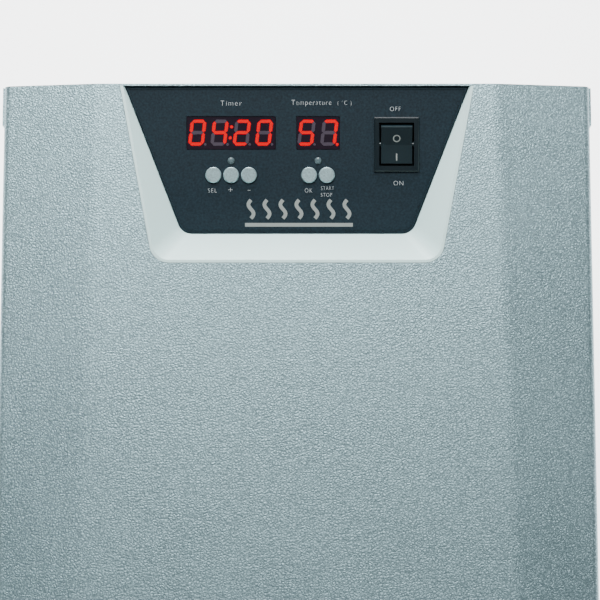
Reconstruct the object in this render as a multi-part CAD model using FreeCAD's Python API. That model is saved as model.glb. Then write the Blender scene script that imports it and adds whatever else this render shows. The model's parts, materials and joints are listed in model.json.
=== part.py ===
"""Countertop box dryer with three sliding shelves, in millimetres.

X runs to the right, Y to the back and Z up. The origin is the centre of the cabinet's footprint on
the floor. The door stands open at a right angle. Parts on the sloping control panel are drawn in the
panel's own frame (x right, y towards the back along the slope, z out of the panel) and then placed.
"""
import FreeCAD, Part
import math
import os

V = FreeCAD.Vector
X_AXIS = V(1, 0, 0)
Y_AXIS = V(0, 1, 0)
Z_AXIS = V(0, 0, 1)
ZERO = V(0, 0, 0)

# Cabinet
WIDTH = 338.0              # across the hood's side walls
DEPTH = 450.0              # closed door's face to rear panel
HEIGHT = 315.0             # floor to the raised middle of the top
SHEET = 1.2                # hood, pan and rear panel
FIT = 0.2                  # gap between pieces that sit in one another
FOOT_H = 8.0
FOOT_R = 11.0
HOOD_LIFT = 6.0            # hood's lower edge above the pan's underside
PAN_FLANGE = 16.0
RIM_DEPTH = 22.0           # rear panel's rims along the side walls

# Top of the hood
SHOULDER_W_REAR = 54.5     # raised middle's edge to the side wall
SHOULDER_W_FRONT = 41.5
SHOULDER_DROP_REAR = 7.0
SHOULDER_DROP_FRONT = 5.3
SHOULDER_R = 4.0
FOLD_R = 34.0

# Recess and control panel
PANEL_TILT = 9.0
PANEL_STEP = 1.2           # panel's rear edge below the top
PANEL_LEN = 85.0
PANEL_HALF_REAR = 99.2
PANEL_HALF_FRONT = 66.2
PANEL_CORNER_R = 8.5
PANEL_T = 2.5
PANEL_BEVEL = 0.7
PANEL_LINE = 1.6           # pressed line's distance from the panel's edge
LINE_W = 0.35
RECESS_LEN = 101.4
RECESS_HALF_REAR = 100.0
RECESS_HALF_FRONT = 80.6
RECESS_CORNER_R = 9.5
SURROUND_T = 1.6
SURROUND_LEDGE = 3.0

# Controls: place across the panel, then distance from its rear edge
ROW_DISPLAY = 26.9
ROW_LAMPS = 42.9
ROW_BUTTONS = 51.1
TIMER_AT = -37.8
TIMER_W = 51.4
TEMPERATURE_AT = 12.2
TEMPERATURE_W = 25.0
DISPLAY_L = 19.3
LAMP_R = 2.0
BUTTON_R = 4.5
BUTTON_GAP = 0.2
BUTTON_COLLAR = 0.35        # collar beyond the cap
BUTTON_PROUD = 1.6
BUTTON_TRAVEL = 1.2
BUTTONS = {"select_button": -48.0, "plus_button": -37.8, "minus_button": -27.6,
           "ok_button": 7.0, "start_button": 17.2}
SWITCH_AT = 57.3
SWITCH_ROW = 33.5
SWITCH_W = 26.0
SWITCH_L = 31.4
BEZEL_T = 1.6
ROCKER_W = 17.8
ROCKER_GAP = 1.1
ROCKER_R = 11.3            # pivot to the rocker's end faces
ROCKER_PIVOT = -1.2        # pivot's height from the panel
ROCKER_SWING = 10.0        # each way from level
BOARD_T = 1.6
BOARD_DEPTH = 13.0         # control board's top below the panel's face
BOARD_LEFT = -66.0
BOARD_RIGHT = 32.0
BOARD_FRONT = -60.0
BOARD_REAR = -9.0
SWITCH_TOP = 4.3           # tact switch's plunger above the board

# Chamber, runners and shelves
CHAMBER_MARGIN = 27.0      # chamber's side wall to the cabinet's
CHAMBER_Z0 = 27.0
CHAMBER_H = 272.0
CHAMBER_BACK = 116.0
LINER_T = 1.0
LEVELS = 6
LEVEL_PITCH = 40.0
LEVEL_FIRST = 16.0         # chamber floor to the lowest runner
RUNNER_OUT = 6.0
RUNNER_T = 3.0
SHELF_LEVELS = {"shelf_lower": 1, "shelf_middle": 3, "shelf_upper": 5}
SHELF_GAP = 1.5
SHELF_LEN = 300.0
SHELF_ROD = 4.0            # rim's height
SHELF_STRIP = 2.5          # rim's thickness
SHELF_CORNER = 12.0
MESH_ROD = 2.0
MESH_RODS = 13

# Door
DOOR_T = 20.0
DOOR_BACK_GAP = 1.5
DOOR_INSET = 0.5           # door's edge inside the cabinet's side
DOOR_Z0 = 26.0
DOOR_H = 270.0
DOOR_OPEN = 90.0
WINDOW_MARGIN = 34.0
WINDOW_T = 4.0
FRAME_T = 2.0              # front frame's plate
PIN_R = 2.5
PIN_DEPTH = 16.0           # pin's length in the door
HINGE_GAP = 0.05           # pin to bracket, on the radius
BRACKET_T = 2.5
HINGE_SCREW_R = 3.0
HANDLE_L = 120.0
HANDLE_OUT = 26.0
HANDLE_SECTION = [(1, -0.4), (1, 0.4), (0.7, 1), (-0.7, 1), (-1, 0.4), (-1, -0.4), (-0.7, -1), (0.7, -1)]

# Fan, heater and motor
FAN_R = 88.0
FAN_BLADES = 7
FAN_Y = 146.0
HUB_R = 20.0
HUB_L = 18.0
HUB_BEVEL = 3.5
BLADE_ROOT = 24.0
BLADE_TIP = 46.0
BLADE_PITCH = 24.0
BLADE_CAMBER = 0.08        # share of the chord
BLADE_T = 1.8
SHAFT_R = 3.0
SHAFT_GAP = 0.05
HEATER_R = 76.0
HEATER_ROD = 3.3
HEATER_Y = 127.0
MOTOR_Y = 168.0
MOTOR_L = 38.0
MOTOR_R = 31.0

# Cable inlet in the rear panel
GLAND_X = 93.6
GLAND_DROP = 62.0
GLAND_R = 7.0
GLAND_NECK_R = 5.6
GLAND_BORE = 3.4
GLAND_IN = 6.0             # collar's length inside the wall
GLAND_OUT = 10.5

# Rear panel
LOUVRE_OUT = 4.5
LOUVRE_L = 74.0
LOUVRE_PITCH = 14.0
LOUVRES = 7
REAR_SCREW_R = 1.8
BRACKET_FOOT_X = 106.0     # motor bracket's screws from the middle

# Baffle and relay board
GUARD_SIDES = 30
PROBE_R = 3.0
PROBE_X = 84.0
PROBE_UP = 60.0            # probe and cut-out above the fan's centre
RELAY_X0 = 40.0
RELAY_X1 = 128.0
RELAY_Y0 = 140.0
RELAY_Y1 = 204.0
RELAY_UP = 24.8            # board's underside above the pan's floor

HALF_W = WIDTH / 2
CHAMBER_HALF = HALF_W - CHAMBER_MARGIN
FRONT_Y = -DEPTH / 2
REAR_Y = DEPTH / 2
PANEL_REAR_Y = REAR_Y - SHEET
DOOR_PIVOT_X = -HALF_W + DOOR_INSET + DOOR_T / 2
DOOR_PIVOT_Y = FRONT_Y + DOOR_T / 2
FRAME_Y = FRONT_Y + DOOR_T + DOOR_BACK_GAP
HOOD_Y0 = FRAME_Y + FRAME_T
PAN_Z = FOOT_H
HOOD_Z = FOOT_H + HOOD_LIFT
FAN_Z = CHAMBER_Z0 + CHAMBER_H / 2
LINER_TOP = CHAMBER_Z0 + CHAMBER_H
PROBE_AT = V(PROBE_X, CHAMBER_BACK, FAN_Z + PROBE_UP)
RELAY_Z = PAN_Z + SHEET + RELAY_UP


def box(x0, x1, y0, y1, z0, z1):
    return Part.makeBox(x1 - x0, y1 - y0, z1 - z0, V(x0, y0, z0))


def rod(radius, start, end):
    return Part.makeCylinder(radius, (end - start).Length, start, end - start)


def frustum(start, end, radius0, radius1, sides=12):
    """Many-sided stand-in for a small turned piece, tapering from start to end."""
    turn = FreeCAD.Rotation(Z_AXIS, end - start)
    wires = []
    for centre, radius in ((start, radius0), (end, radius1)):
        angles = [2 * math.pi * i / sides for i in range(sides)]
        points = [centre + turn.multVec(V(radius * math.cos(a), radius * math.sin(a), 0)) for a in angles]
        wires.append(Part.makePolygon(points + [points[0]]))
    return Part.makeLoft(wires, True, True)


def peg(radius, start, end, sides=8):
    return frustum(start, end, radius, radius, sides)


def moved(shape, x=0.0, y=0.0, z=0.0):
    copy = shape.copy()
    copy.translate(V(x, y, z))
    return copy


def fused(first, *rest):
    return first.multiFuse(list(rest)).removeSplitter()


def group(shapes):
    return Part.makeCompound(shapes)


def prism(points, direction):
    return Part.Face(Part.makePolygon(points + [points[0]])).extrude(direction)


def rounded_box(x0, x1, y0, y1, z0, z1, radius):
    """Box whose upright edges are rounded."""
    block = box(x0, x1, y0, y1, z0, z1)
    upright = [e for e in block.Edges if abs(e.tangentAt(e.FirstParameter).z) > 0.9]
    return block.makeFillet(radius, upright)


def on_panel(shape):
    copy = shape.copy()
    copy.rotate(ZERO, X_AXIS, PANEL_TILT)
    copy.translate(V(0, PANEL_REAR_Y, HEIGHT - PANEL_STEP))
    return copy


def opened(shape):
    copy = shape.copy()
    copy.rotate(V(DOOR_PIVOT_X, DOOR_PIVOT_Y, 0), Z_AXIS, -DOOR_OPEN)
    return copy


def screw(head_r, head_h, length, at, direction):
    """Pan head standing on the surface at the point, shank along the direction."""
    into = V(direction)
    rim = at - into * (head_h * 0.45)
    head = fused(peg(head_r, at, rim, 12), frustum(rim, at - into * head_h, head_r, head_r * 0.6))
    return fused(head, peg(head_r * 0.45, at, at + into * length, 6))


# ---------------------------------------------------------------- cabinet

def hood_section(y, top_half, shoulder_drop, inset, z0):
    """Closed outline of the cabinet across its width at one depth, drawn inset from its outside."""
    slope = math.atan2(shoulder_drop, HALF_W - top_half)
    side = HALF_W - inset
    top = HEIGHT - inset
    fold = top_half - inset * math.tan(slope / 2)
    shoulder = top - (side - fold) * math.tan(slope)
    half = [V(side, y, z0), V(side, y, shoulder), V(fold, y, top)]
    return half + [V(-p.x, p.y, p.z) for p in reversed(half)]


def hood_half_at(y):
    """Half-width of the raised middle and the shoulder's drop at one depth."""
    share = (REAR_Y - y) / DEPTH
    shoulder = SHOULDER_W_REAR + (SHOULDER_W_FRONT - SHOULDER_W_REAR) * share
    return HALF_W - shoulder, SHOULDER_DROP_REAR + (SHOULDER_DROP_FRONT - SHOULDER_DROP_REAR) * share


def hood_solid(y0, y1, inset, z0):
    wires = []
    for y in (y0, y1):
        points = hood_section(y, *hood_half_at(y), inset, z0)
        wires.append(Part.makePolygon(points + [points[0]]))
    body = Part.makeLoft(wires, True, True)
    shoulders = []
    folds = []
    for edge in body.Edges:
        middle = edge.CenterOfMass
        if abs(edge.tangentAt(edge.FirstParameter).y) < 0.9 or middle.z < HEIGHT / 2:
            continue
        (shoulders if abs(middle.x) > HALF_W - inset - 1 else folds).append(edge)
    body = body.makeFillet(SHOULDER_R - inset, shoulders)
    folds = [e for e in body.Edges if e.CenterOfMass.z > HEIGHT - inset - 0.5
             and abs(e.tangentAt(e.FirstParameter).y) > 0.9]
    return body.makeFillet(FOLD_R - inset, folds)


def recess_points(half_rear, half_front, length, grow, past):
    """Corners of a panel outline: rear right, front right, front left, rear left.

    grow moves the sides and front out, and past carries the sides on behind the rear edge."""
    lean = (half_rear - half_front) / length
    stretch = grow * math.sqrt(1 + lean * lean)
    rear = half_rear + lean * past + stretch
    front = half_front - lean * grow + stretch
    return [(rear, past), (front, -length - grow), (-front, -length - grow), (-rear, past)]


def recess_wire(corners, radius, z):
    """Outline with its two front corners rounded, open ends joined across the rear."""
    pts = [V(x, y, z) for x, y in corners]
    edges = []
    start = pts[0]
    for corner, after in ((pts[1], pts[2]), (pts[2], pts[3])):
        back = (start - corner).normalize()
        ahead = (after - corner).normalize()
        half_angle = back.getAngle(ahead) / 2
        reach = radius / math.tan(half_angle)
        centre = corner + (back + ahead).normalize() * (radius / math.sin(half_angle))
        a = corner + back * reach
        b = corner + ahead * reach
        middle = centre + (corner - centre).normalize() * radius
        edges.append(Part.makeLine(start, a))
        edges.append(Part.Arc(a, middle, b).toShape())
        start = b
    edges.append(Part.makeLine(start, pts[3]))
    edges.append(Part.makeLine(pts[3], pts[0]))
    return Part.Wire(edges)


def panel_wire(grow, past, z):
    corners = recess_points(PANEL_HALF_REAR, PANEL_HALF_FRONT, PANEL_LEN, grow, past)
    return recess_wire(corners, PANEL_CORNER_R + grow, z)


def top_wire(grow, past, z):
    corners = recess_points(RECESS_HALF_REAR, RECESS_HALF_FRONT, RECESS_LEN, grow, past)
    return recess_wire(corners, RECESS_CORNER_R + grow, z)


def recess_funnel(grow, past):
    """Ruled solid between the opening in the level top and the outline on the sloping panel."""
    upper = top_wire(grow, past, 0)
    upper.translate(V(0, PANEL_REAR_Y, HEIGHT))
    lower = on_panel(panel_wire(grow, past, 0))
    return Part.makeLoft([upper, lower], True, True)


def panel_prism(grow, past, z0, z1):
    return on_panel(Part.Face(panel_wire(grow, past, z0)).extrude(V(0, 0, z1 - z0)))


def hood():
    shell = hood_solid(HOOD_Y0, PANEL_REAR_Y, 0, HOOD_Z)
    shell = shell.cut(hood_solid(HOOD_Y0 - 1, PANEL_REAR_Y + 1, SHEET, HOOD_Z - 5))
    opening = Part.Face(top_wire(SURROUND_T + FIT, 5, HEIGHT / 2)).extrude(V(0, 0, HEIGHT))
    return shell.cut(moved(opening, y=PANEL_REAR_Y))


def panel_surround():
    skirt = PANEL_T + 2 * SURROUND_LEDGE / 3
    body = recess_funnel(SURROUND_T, 0).fuse(panel_prism(SURROUND_T, 0, -skirt, 0))
    body = body.cut(recess_funnel(0, 4))
    body = body.cut(panel_prism(0, 4, -PANEL_T, 0.5))
    body = body.cut(panel_prism(-SURROUND_LEDGE, -4, -skirt - 1, 0))
    behind = box(-WIDTH, WIDTH, PANEL_REAR_Y - FIT / 2, REAR_Y + 50, 0, 2 * HEIGHT)
    return body.cut(behind)


def control_panel():
    plate = Part.Face(panel_wire(-FIT, -2 * FIT, -PANEL_T)).extrude(V(0, 0, PANEL_T))
    rim = [e for e in plate.Edges if e.BoundBox.ZMin > -0.01]
    plate = plate.makeChamfer(PANEL_BEVEL, rim)
    line = Part.Face(panel_wire(-PANEL_LINE, -PANEL_LINE, -LINE_W)).extrude(V(0, 0, 1))
    line = line.cut(Part.Face(panel_wire(-PANEL_LINE - LINE_W, -PANEL_LINE - LINE_W, -1)).extrude(V(0, 0, 2)))
    plate = plate.cut(line)
    cuts = [display_block(TIMER_AT, TIMER_W, 0, -20, 10)]
    cuts.append(display_block(TEMPERATURE_AT, TEMPERATURE_W, 0, -20, 10))
    for x in (TIMER_AT, TEMPERATURE_AT):
        cuts.append(Part.makeCylinder(LAMP_R + FIT, 30, V(x, -ROW_LAMPS, -20)))
    for x in BUTTONS.values():
        cuts.append(Part.makeCylinder(BUTTON_R + BUTTON_GAP, 30, V(x, -ROW_BUTTONS, -20)))
    cuts.append(switch_block(SWITCH_W - 2 * FIT - 3, SWITCH_L - 2 * FIT - 3, -20, 10))
    return on_panel(plate.cut(group(cuts)))


def display_block(x, width, gap, z0, z1):
    half = width / 2 - gap
    long = DISPLAY_L / 2 - gap
    return box(x - half, x + half, -ROW_DISPLAY - long, -ROW_DISPLAY + long, z0, z1)


def display(x, width, digits):
    """Display module: stepped housing with a pocket for each digit, seated on the control board."""
    body = display_block(x, width, FIT, -BOARD_DEPTH + FIT, -0.4)
    pitch = (width - 2 * FIT) / digits
    for i in range(digits):
        left = x - width / 2 + FIT + pitch * i
        pocket = box(left + 1, left + pitch - 1, -ROW_DISPLAY - 7.5, -ROW_DISPLAY + 7.5, -0.8, 1)
        body = body.cut(pocket)
    return on_panel(body)


def indicator_lamps():
    lamps = []
    for x in (TIMER_AT, TEMPERATURE_AT):
        stem = peg(LAMP_R, V(x, -ROW_LAMPS, -BOARD_DEPTH + FIT), V(x, -ROW_LAMPS, 0.3), 20)
        dome = frustum(V(x, -ROW_LAMPS, 0.3), V(x, -ROW_LAMPS, 1.2), LAMP_R, LAMP_R * 0.55, 20)
        lamps.append(on_panel(fused(stem, dome)))
    return group(lamps)


def button(x):
    """Round cap with a soft edge, a collar that stops it under the panel, and a plunger."""
    edge = 0.5

    def centre(z):
        return V(x, -ROW_BUTTONS, z)
    cap = peg(BUTTON_R, centre(-PANEL_T - 1), centre(BUTTON_PROUD - edge), 36)
    crown = frustum(centre(BUTTON_PROUD - edge), centre(BUTTON_PROUD), BUTTON_R, BUTTON_R - edge, 36)
    collar = peg(BUTTON_R + BUTTON_COLLAR, centre(-PANEL_T - 1.5), centre(-PANEL_T - 0.3), 36)
    plunger_end = -BOARD_DEPTH + SWITCH_TOP + BUTTON_TRAVEL + 0.3
    plunger = peg(1.5, centre(plunger_end), centre(-PANEL_T))
    return on_panel(fused(cap, crown, collar, plunger))


def tact_switches():
    switches = []
    for x in BUTTONS.values():
        base = box(x - 3, x + 3, -ROW_BUTTONS - 3, -ROW_BUTTONS + 3, -BOARD_DEPTH, -BOARD_DEPTH + 3.5)
        top = V(x, -ROW_BUTTONS, -BOARD_DEPTH + SWITCH_TOP)
        stud = peg(1.7, top - V(0, 0, 1.3), top)
        switches.append(on_panel(fused(base, stud)))
    return group(switches)


def switch_block(width, length, z0, z1):
    return box(SWITCH_AT - width / 2, SWITCH_AT + width / 2,
               -SWITCH_ROW - length / 2, -SWITCH_ROW + length / 2, z0, z1)


def switch_housing():
    bezel = switch_block(SWITCH_W, SWITCH_L, 0, BEZEL_T)
    bezel = bezel.makeChamfer(0.7, [e for e in bezel.Edges if e.BoundBox.ZMin > BEZEL_T - 0.01])
    body = switch_block(SWITCH_W - 4 * FIT - 3, SWITCH_L - 4 * FIT - 3, -16, 0.5)
    well = switch_block(ROCKER_W + 2 * ROCKER_GAP, 2 * (ROCKER_R + ROCKER_GAP), -12, 10)
    pivot = rod(1.5 + SHAFT_GAP, V(SWITCH_AT - ROCKER_W / 2 - 2, -SWITCH_ROW, ROCKER_PIVOT),
                V(SWITCH_AT + ROCKER_W / 2 + 2, -SWITCH_ROW, ROCKER_PIVOT))
    tabs = [box(SWITCH_AT + x - 0.4, SWITCH_AT + x + 0.4, -SWITCH_ROW - 3, -SWITCH_ROW + 3, -22, -15.5)
            for x in (-6, 0, 6)]
    return on_panel(fused(bezel, body, *tabs).cut(well).cut(pivot))


def power_rocker():
    """Hollow-topped rocker: two flat halves that meet in a shallow valley, round end faces."""
    def at(angle, radius):
        turn = math.radians(angle)
        return V(-ROCKER_W / 2, radius * math.cos(turn), radius * math.sin(turn))
    lip, low = 22.0, -20.0
    rise = ROCKER_R * math.sin(math.radians(lip))
    reach = ROCKER_R * math.cos(math.radians(lip))
    valley = rise - reach * math.tan(math.radians(ROCKER_SWING))
    ends = [Part.Arc(at(low, ROCKER_R), at(1, ROCKER_R), at(lip, ROCKER_R)).toShape(),
            Part.Arc(at(180 - lip, ROCKER_R), at(179, ROCKER_R), at(180 - low, ROCKER_R)).toShape()]
    top = V(-ROCKER_W / 2, 0, valley)
    foot = V(-ROCKER_W / 2, 0, -7)
    outline = Part.Wire([
        ends[0], Part.makeLine(at(lip, ROCKER_R), top), Part.makeLine(top, at(180 - lip, ROCKER_R)),
        ends[1], Part.makeLine(at(180 - low, ROCKER_R), foot), Part.makeLine(foot, at(low, ROCKER_R))])
    body = Part.Face(outline).extrude(V(ROCKER_W, 0, 0))
    trunnion = rod(1.5, V(-ROCKER_W / 2 - 1.8, 0, 0), V(ROCKER_W / 2 + 1.8, 0, 0))
    body = fused(body, trunnion)
    body.rotate(ZERO, X_AXIS, ROCKER_SWING)
    return on_panel(moved(body, SWITCH_AT, -SWITCH_ROW, ROCKER_PIVOT))


def control_board():
    board = box(BOARD_LEFT, BOARD_RIGHT, BOARD_FRONT, BOARD_REAR, -BOARD_DEPTH - BOARD_T, -BOARD_DEPTH)
    chip = box(-24, -10, -58, -46, -BOARD_DEPTH - BOARD_T - 2.2, -BOARD_DEPTH - BOARD_T + 0.1)
    plug = box(-62, -50, -40, -30, -BOARD_DEPTH - BOARD_T - 6, -BOARD_DEPTH - BOARD_T + 0.1)
    under = -BOARD_DEPTH - 5
    holes = group([peg(1.6, V(x, y, under), V(x, y, under + 10)) for x, y in board_corners()])
    return on_panel(fused(board, chip, plug).cut(holes))


def board_corners():
    columns = (BOARD_LEFT + 3.5, BOARD_RIGHT - 3.5)
    rows = (BOARD_FRONT + 3.5, BOARD_REAR - 3.5)
    return [(x, y) for x in columns for y in rows]


def board_posts():
    return group([on_panel(peg(3, V(x, y, -BOARD_DEPTH), V(x, y, -PANEL_T))) for x, y in board_corners()])


def board_screws():
    under = -BOARD_DEPTH - BOARD_T
    return group([on_panel(screw(2.6, 1.6, BOARD_T, V(x, y, under), Z_AXIS)) for x, y in board_corners()])


def rear_panel():
    """Flat rear wall with pressed louvres, and a rim along each side wall."""
    slab = hood_solid(PANEL_REAR_Y, REAR_Y, 0, HOOD_Z)
    for side in (-1, 1):
        x0, x1 = sorted((side * HALF_W, side * (HALF_W + SHEET)))
        rim = box(x0, x1, REAR_Y - RIM_DEPTH, REAR_Y, HOOD_Z, HEIGHT - SHOULDER_DROP_REAR - SHOULDER_R)
        slab = slab.fuse(rim)
    hoods = []
    slots = []
    for x in (-LOUVRE_L - 12, 12):
        for i in range(LOUVRES):
            z = FAN_Z - LOUVRE_PITCH * (LOUVRES - 1) / 2 + LOUVRE_PITCH * i
            slots.append(box(x + SHEET, x + LOUVRE_L - SHEET, REAR_Y - 5, REAR_Y, z - 1.5, z + 1.5))
            hoods.append(louvre(x, z))
    slab = slab.multiFuse(hoods).cut(group(slots))
    inlet = V(GLAND_X, REAR_Y - 10, HEIGHT - GLAND_DROP)
    holes = [Part.makeCylinder(GLAND_NECK_R + FIT / 2, 20, inlet, Y_AXIS)]
    for x, z in rear_screw_places() + bracket_screw_places():
        holes.append(peg(REAR_SCREW_R, V(x, REAR_Y - 10, z), V(x, REAR_Y + 10, z), 6))
    return slab.cut(group(holes)).removeSplitter()


def louvre(x, z):
    """Pressed hood over one slot, open underneath, its outline a run of flats."""
    def outline(radius):
        turns = [math.radians(a) for a in (0, 22, 45, 68, 90)]
        return [ZERO] + [V(0, radius * math.cos(t), radius * math.sin(t)) for t in turns]
    bulge = prism(outline(LOUVRE_OUT), V(LOUVRE_L, 0, 0))
    hollow = moved(prism(outline(LOUVRE_OUT - SHEET), V(LOUVRE_L - 2 * SHEET, 0, 0)), SHEET, 0, -0.01)
    return moved(bulge.cut(hollow), x, REAR_Y, z - 1.5)


def rear_screw_places():
    return [(x, z) for x in (-HALF_W + 10, HALF_W - 10) for z in (HOOD_Z + 14, FAN_Z, HEIGHT - 24)]


def bracket_screw_places():
    return [(-BRACKET_FOOT_X, FAN_Z), (BRACKET_FOOT_X, FAN_Z)]


def rear_panel_screws():
    places = rear_screw_places() + bracket_screw_places()
    return group([screw(4, 2.4, 8, V(x, REAR_Y, z), V(0, -1, 0)) for x, z in places])


def cord_gland():
    """Strain relief: collar inside, neck through the wall, rim and tapered tail outside, cable bore."""
    inner = REAR_Y - SHEET - GLAND_IN

    def centre(y):
        return V(GLAND_X, y, HEIGHT - GLAND_DROP)
    wall = centre(REAR_Y)
    collar = peg(GLAND_R, centre(inner), centre(REAR_Y - SHEET - FIT / 2), 24)
    neck = peg(GLAND_NECK_R - FIT / 2, centre(inner + 1), wall + V(0, 1, 0), 24)
    rim = peg(GLAND_R, wall + V(0, FIT / 2, 0), wall + V(0, 2.2, 0), 24)
    tail = frustum(wall + V(0, 1, 0), wall + V(0, GLAND_OUT, 0), GLAND_R - 2.4, GLAND_BORE + 0.9, 24)
    bore = rod(GLAND_BORE, centre(inner - 5), wall + V(0, 2 * GLAND_OUT, 0))
    return fused(collar, neck, rim, tail).cut(bore)


def base_pan():
    half = HALF_W - SHEET - FIT
    outer = box(-half, half, HOOD_Y0, PANEL_REAR_Y - FIT, PAN_Z, PAN_Z + PAN_FLANGE)
    inner = box(-half + SHEET, half - SHEET, HOOD_Y0 + SHEET, PANEL_REAR_Y - FIT - SHEET,
                PAN_Z + SHEET, HEIGHT)
    pan = outer.cut(inner)
    pegs = [peg(2.2, V(x, y, 0), V(x, y, 20)) for x, y in foot_places()]
    vents = [box(-60, 60, y - 2.5, y + 2.5, 0, PAN_Z + 5) for y in range(135, 205, 14)]
    return pan.cut(group(pegs + vents))


def foot_places():
    return [(x, y) for x in (-HALF_W + 24, HALF_W - 24) for y in (HOOD_Y0 + 22, REAR_Y - 28)]


def feet():
    made = []
    for x, y in foot_places():
        foot, top = V(x, y, 0), V(x, y, FOOT_H)
        cone = frustum(foot, top, FOOT_R - 1.5, FOOT_R, 24)
        cup = peg(4.5, foot, V(x, y, FOOT_H - 4), 16)
        hole = peg(2.2, foot, top)
        made.append(cone.cut(cup).cut(hole))
    return group(made)


def base_screws():
    return group([screw(4, 2.2, FOOT_H, V(x, y, FOOT_H - 4), Z_AXIS) for x, y in foot_places()])


def front_frame():
    """Moulded frame between hood and chamber, with a lip inside the hood."""
    plate = hood_solid(FRAME_Y, HOOD_Y0, 0, PAN_Z + 1)
    lip = hood_solid(HOOD_Y0, HOOD_Y0 + 8, SHEET + FIT, PAN_Z + PAN_FLANGE + 1)
    lip = lip.cut(hood_solid(HOOD_Y0 - 1, HOOD_Y0 + 9, SHEET + FIT + 2, -5))
    lip = lip.cut(box(-WIDTH, WIDTH, HOOD_Y0 - 1, HOOD_Y0 + 9, 0, PAN_Z + PAN_FLANGE + 3))
    opening = box(-CHAMBER_HALF, CHAMBER_HALF, FRAME_Y - 1, HOOD_Y0 + 1, CHAMBER_Z0, LINER_TOP)
    return plate.fuse(lip).cut(opening).removeSplitter()


def chamber_liner():
    outer = box(-CHAMBER_HALF - LINER_T, CHAMBER_HALF + LINER_T, HOOD_Y0, CHAMBER_BACK,
                CHAMBER_Z0 - LINER_T, LINER_TOP + LINER_T)
    shell = outer.cut(box(-CHAMBER_HALF, CHAMBER_HALF, HOOD_Y0 - 1, CHAMBER_BACK + 1, CHAMBER_Z0, LINER_TOP))
    runners = []
    for level in range(LEVELS):
        z = runner_top(level)
        for side in (-1, 1):
            wall = side * (CHAMBER_HALF + LINER_T / 2)
            tip = side * (CHAMBER_HALF - RUNNER_OUT)
            outline = [V(wall, HOOD_Y0, z), V(tip, HOOD_Y0, z), V(tip, HOOD_Y0, z - RUNNER_T / 2),
                       V(wall, HOOD_Y0, z - 2 * RUNNER_T)]
            runners.append(prism(outline, V(0, CHAMBER_BACK - HOOD_Y0, 0)))
    return fused(shell, *runners)


def runner_top(level):
    return CHAMBER_Z0 + LEVEL_FIRST + LEVEL_PITCH * level


def shelf(level):
    """Shelf: round-cornered strip rim, two cross bars and a row of long bars flush with its top."""
    z = runner_top(level) + 0.3
    top = z + SHELF_ROD
    half = CHAMBER_HALF - SHELF_GAP
    y0 = HOOD_Y0 + 1
    y1 = y0 + SHELF_LEN
    rim = rounded_box(-half, half, y0, y1, z, top, SHELF_CORNER)
    hollow = rounded_box(-half + SHELF_STRIP, half - SHELF_STRIP, y0 + SHELF_STRIP, y1 - SHELF_STRIP,
                         z - 1, top + 1, SHELF_CORNER - SHELF_STRIP)
    bars = []
    for share in (0.33, 0.67):
        y = y0 + (y1 - y0) * share
        bars.append(box(-half + 1, half - 1, y - SHELF_STRIP / 2, y + SHELF_STRIP / 2, z, top - MESH_ROD / 2))
    for i in range(MESH_RODS):
        x = -half + 2 * half * (i + 1) / (MESH_RODS + 1)
        bars.append(box(x - MESH_ROD / 2, x + MESH_ROD / 2, y0 + 1, y1 - 1, top - MESH_ROD, top))
    return fused(rim.cut(hollow), *bars)


# ---------------------------------------------------------------- fan end

def fan_baffle():
    """Rear wall of the chamber: ring of slots in front of the fan, and outlet slots at both sides."""
    plate = box(-CHAMBER_HALF - LINER_T, CHAMBER_HALF + LINER_T, CHAMBER_BACK, CHAMBER_BACK + SHEET,
                CHAMBER_Z0 - LINER_T, LINER_TOP + LINER_T)
    cuts = []
    front, back = V(0, CHAMBER_BACK - 5, FAN_Z), V(0, CHAMBER_BACK + 5, FAN_Z)
    for ring in range(5):
        radius = 18 + 12 * ring
        band = peg(radius + 5.5, front, back, GUARD_SIDES)
        cuts.append(band.cut(peg(radius, front, back, GUARD_SIDES)))
    ribs = []
    for spoke in range(3):
        rib = box(-80, 80, CHAMBER_BACK - 6, CHAMBER_BACK + 20, -4, 4)
        rib.rotate(ZERO, Y_AXIS, 30 + 60 * spoke)
        ribs.append(moved(rib, z=FAN_Z))
    slots = group(cuts).cut(group(ribs))
    sides = []
    for side in (-1, 1):
        for row in range(9):
            z = FAN_Z + (row - 4) * 26
            x = side * (CHAMBER_HALF - 28)
            sides.append(box(x - 14, x + 14, CHAMBER_BACK - 5, CHAMBER_BACK + 5, z - 3, z + 3))
    probe = peg(PROBE_R + FIT, PROBE_AT - V(0, 10, 0), PROBE_AT + V(0, 10, 0))
    return plate.cut(slots).cut(group(sides + [probe]))


def temperature_probe():
    x, y, z = PROBE_AT.x, PROBE_AT.y, PROBE_AT.z
    tip = frustum(V(x, y - 10, z), V(x, y - 12, z), PROBE_R, PROBE_R * 0.5, 8)
    stem = peg(PROBE_R, V(x, y - 10, z), V(x, y + 8, z))
    collar = peg(6, V(x, y + SHEET, z), V(x, y + SHEET + 2, z), 12)
    return fused(stem, tip, collar)


def heater_element():
    """Sheathed ring with a gap at the bottom, and two legs that run down past the fan and back."""
    gap = math.radians(16)
    reach = FAN_R + 18
    section = [V(HEATER_R + HEATER_ROD * math.cos(math.radians(a)), HEATER_ROD * math.sin(math.radians(a)), 0)
               for a in range(0, 360, 60)]
    ring = Part.Face(Part.makePolygon(section + [section[0]]))
    ring = ring.revolve(ZERO, Y_AXIS, 360 - 2 * math.degrees(gap))
    ring.rotate(ZERO, Y_AXIS, 90 + math.degrees(gap))
    pieces = []
    for side in (-1, 1):
        end = V(side * HEATER_R * math.sin(gap), 0, -HEATER_R * math.cos(gap))
        bend = V(side * reach * math.sin(gap), 0, -reach * math.cos(gap))
        pieces.append(peg(HEATER_ROD - 0.1, end + (end - bend) * 0.08, bend + (bend - end) * 0.08))
        pieces.append(peg(HEATER_ROD - 0.1, bend, bend + V(0, 20, 0)))
    return moved(fused(ring, *pieces), y=HEATER_Y, z=FAN_Z)


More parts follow.
